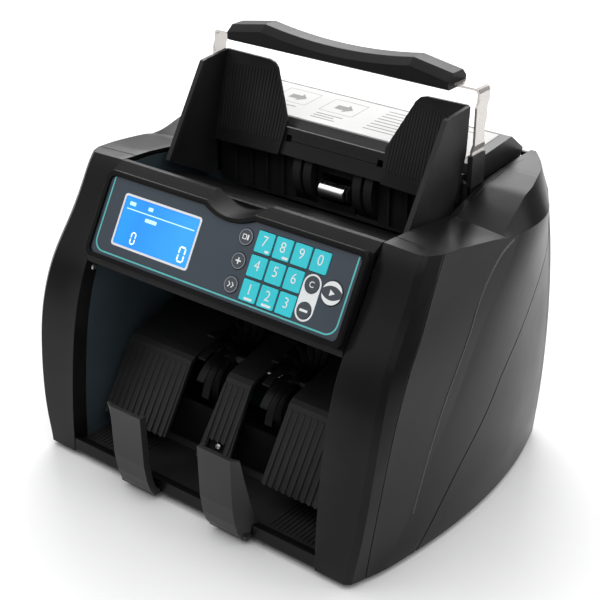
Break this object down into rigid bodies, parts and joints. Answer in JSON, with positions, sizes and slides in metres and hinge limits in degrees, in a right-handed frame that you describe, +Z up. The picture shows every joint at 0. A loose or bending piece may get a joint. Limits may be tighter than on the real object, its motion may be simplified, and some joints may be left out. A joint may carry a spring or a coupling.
{
  "type": "banknote counting machine",
  "caption": "Desktop banknote counting machine with a sloped keypad and display, top note hopper with sliding guides, front stacking pocket and a lift-up carry handle.",
  "frame": {"origin": "under the centre of the whole box, on the table surface the feet stand on", "axes": "+Z up, -Y is the front with keypad and note pocket, +X is the right-hand side seen from the front"},
  "size_m": [0.2994, 0.2454, 0.2759],
  "materials": {
    "body_black": "satin moulded black",
    "inner_black": "fine matt moulded black",
    "panel_slate": "printed polyester sheet",
    "key_teal": "satin teal",
    "key_dark": "satin slate",
    "display_blue": "backlit display",
    "board_green": "circuit board",
    "plate_bluegrey": "powder coat",
    "strip_steel": "satin plated",
    "shaft_steel": "ground",
    "roller_chrome": "polished",
    "tyre_rubber": "ground rubber",
    "foot_rubber": "soft rubber",
    "pulley_plastic": "natural nylon",
    "bush_brass": "sintered",
    "motor_steel": "plated can",
    "transformer_iron": "varnished",
    "label_paper": "plain white sticker"
  },
  "bodies": {
    "chassis": {"base_plate": "inner_black", "rubber_feet": "foot_rubber", "front_frame": "body_black", "side_shell_left": "body_black", "side_shell_right": "body_black", "rear_shell": "body_black", "side_plate_left": "plate_bluegrey", "side_plate_right": "plate_bluegrey", "shaft_bushes": "bush_brass", "panel_housing": "body_black", "panel_overlay": "panel_slate", "lcd_window": "display_blue", "display_board": "board_green", "tray_floor": "inner_black", "note_deflector": "inner_black", "note_stops": "inner_black", "hopper_floor": "inner_black", "hopper_back_wall": "inner_black", "handle_sleeves": "body_black", "guide_rail": "shaft_steel", "drive_motor": "motor_steel", "drive_belts": "tyre_rubber", "main_board": "board_green", "transformer": "transformer_iron", "power_inlet": "inner_black", "switch_body": "inner_black", "lid_hinges": "inner_black"},
    "lid": {"rear_lid": "body_black", "lid_label": "label_paper"},
    "handle": {"handle_grip": "body_black", "handle_strip_left": "strip_steel", "handle_strip_right": "strip_steel"},
    "guide_left": {"hopper_guide_left": "inner_black"},
    "guide_right": {"hopper_guide_right": "inner_black"},
    "pickup": {"pickup_shaft": "shaft_steel", "pickup_tyres": "tyre_rubber"},
    "pressure_roller": {"pressure_roller": "roller_chrome"},
    "transport": {"drive_shaft": "shaft_steel", "transport_rollers": "tyre_rubber", "drive_pulleys": "pulley_plastic"},
    "stacker": {"stacker_shaft": "shaft_steel", "stacker_wheels": "inner_black"},
    "motor_spindle": {"motor_pulley": "pulley_plastic"},
    "rocker": {"rocker": "inner_black"},
    "key_0": {"key_0": "key_teal"},
    "key_1": {"key_1": "key_teal"},
    "key_2": {"key_2": "key_teal"},
    "key_3": {"key_3": "key_teal"},
    "key_4": {"key_4": "key_teal"},
    "key_5": {"key_5": "key_teal"},
    "key_6": {"key_6": "key_teal"},
    "key_7": {"key_7": "key_teal"},
    "key_8": {"key_8": "key_teal"},
    "key_9": {"key_9": "key_teal"},
    "key_mode": {"key_mode": "key_dark"},
    "key_add": {"key_add": "key_dark"},
    "key_speed": {"key_speed": "key_dark"},
    "key_clear": {"key_clear": "key_dark"},
    "key_batch": {"key_batch": "key_dark"},
    "key_restart": {"key_restart": "key_dark"}
  },
  "joints": [
    {"name": "lid_hinge", "type": "hinge", "parent": "chassis", "child": "lid", "pos_m": [0, 0.11745, 0.1974], "axis": [-1, 0, 0], "range_deg": [0, 75]},
    {"name": "handle_slide", "type": "slide", "parent": "chassis", "child": "handle", "axis": [0, 0, 1], "range_m": [0, 0.03]},
    {"name": "guide_right_slide", "type": "slide", "parent": "chassis", "child": "guide_right", "axis": [-1, 0, 0], "range_m": [0, 0.035]},
    {"name": "guide_left_slide", "type": "slide", "parent": "chassis", "child": "guide_left", "axis": [1, 0, 0], "range_m": [0, 0.035]},
    {"name": "transport_spin", "type": "hinge", "parent": "chassis", "child": "transport", "pos_m": [0, 0.04285, 0.124], "axis": [1, 0, 0], "continuous": true},
    {"name": "pickup_spin", "type": "hinge", "parent": "chassis", "child": "pickup", "pos_m": [0, 0.06535, 0.178], "axis": [1, 0, 0], "continuous": true},
    {"name": "stacker_spin", "type": "hinge", "parent": "chassis", "child": "stacker", "pos_m": [0, -0.02715, 0.068], "axis": [1, 0, 0], "continuous": true},
    {"name": "motor_spin", "type": "hinge", "parent": "chassis", "child": "motor_spindle", "pos_m": [0, 0.08085, 0.06], "axis": [1, 0, 0], "continuous": true},
    {"name": "pressure_roller_spin", "type": "hinge", "parent": "chassis", "child": "pressure_roller", "pos_m": [0, 0.04585, 0.1726], "axis": [1, 0, 0], "continuous": true},
    {"name": "rocker_tilt", "type": "hinge", "parent": "chassis", "child": "rocker", "pos_m": [0.044, 0.11875, 0.04], "axis": [0, 0, -1], "range_deg": [0, 20]},
    {"name": "key_0_press", "type": "slide", "parent": "chassis", "child": "key_0", "axis": [0, 0.8669, -0.4985], "range_m": [0, 0.0005], "stiffness_N_per_m": 300},
    {"name": "key_1_press", "type": "slide", "parent": "chassis", "child": "key_1", "axis": [0, 0.8669, -0.4985], "range_m": [0, 0.0005], "stiffness_N_per_m": 300},
    {"name": "key_2_press", "type": "slide", "parent": "chassis", "child": "key_2", "axis": [0, 0.8669, -0.4985], "range_m": [0, 0.0005], "stiffness_N_per_m": 300},
    {"name": "key_3_press", "type": "slide", "parent": "chassis", "child": "key_3", "axis": [0, 0.8669, -0.4985], "range_m": [0, 0.0005], "stiffness_N_per_m": 300},
    {"name": "key_4_press", "type": "slide", "parent": "chassis", "child": "key_4", "axis": [0, 0.8669, -0.4985], "range_m": [0, 0.0005], "stiffness_N_per_m": 300},
    {"name": "key_5_press", "type": "slide", "parent": "chassis", "child": "key_5", "axis": [0, 0.8669, -0.4985], "range_m": [0, 0.0005], "stiffness_N_per_m": 300},
    {"name": "key_6_press", "type": "slide", "parent": "chassis", "child": "key_6", "axis": [0, 0.8669, -0.4985], "range_m": [0, 0.0005], "stiffness_N_per_m": 300},
    {"name": "key_7_press", "type": "slide", "parent": "chassis", "child": "key_7", "axis": [0, 0.8669, -0.4985], "range_m": [0, 0.0005], "stiffness_N_per_m": 300},
    {"name": "key_8_press", "type": "slide", "parent": "chassis", "child": "key_8", "axis": [0, 0.8669, -0.4985], "range_m": [0, 0.0005], "stiffness_N_per_m": 300},
    {"name": "key_9_press", "type": "slide", "parent": "chassis", "child": "key_9", "axis": [0, 0.8669, -0.4985], "range_m": [0, 0.0005], "stiffness_N_per_m": 300},
    {"name": "key_mode_press", "type": "slide", "parent": "chassis", "child": "key_mode", "axis": [0, 0.8669, -0.4985], "range_m": [0, 0.0005], "stiffness_N_per_m": 300},
    {"name": "key_add_press", "type": "slide", "parent": "chassis", "child": "key_add", "axis": [0, 0.8669, -0.4985], "range_m": [0, 0.0005], "stiffness_N_per_m": 300},
    {"name": "key_speed_press", "type": "slide", "parent": "chassis", "child": "key_speed", "axis": [0, 0.8669, -0.4985], "range_m": [0, 0.0005], "stiffness_N_per_m": 300},
    {"name": "key_clear_press", "type": "slide", "parent": "chassis", "child": "key_clear", "axis": [0, 0.8669, -0.4985], "range_m": [0, 0.0005], "stiffness_N_per_m": 300},
    {"name": "key_batch_press", "type": "slide", "parent": "chassis", "child": "key_batch", "axis": [0, 0.8669, -0.4985], "range_m": [0, 0.0005], "stiffness_N_per_m": 300},
    {"name": "key_restart_press", "type": "slide", "parent": "chassis", "child": "key_restart", "axis": [0, 0.8669, -0.4985], "range_m": [0, 0.0005], "stiffness_N_per_m": 300}
  ],
  "couplings": [
    {"joint": "guide_left_slide", "follows": "guide_right_slide", "ratio": 1},
    {"joint": "pickup_spin", "follows": "transport_spin", "ratio": 1},
    {"joint": "stacker_spin", "follows": "transport_spin", "ratio": 0.53846},
    {"joint": "motor_spin", "follows": "transport_spin", "ratio": 2}
  ]
}
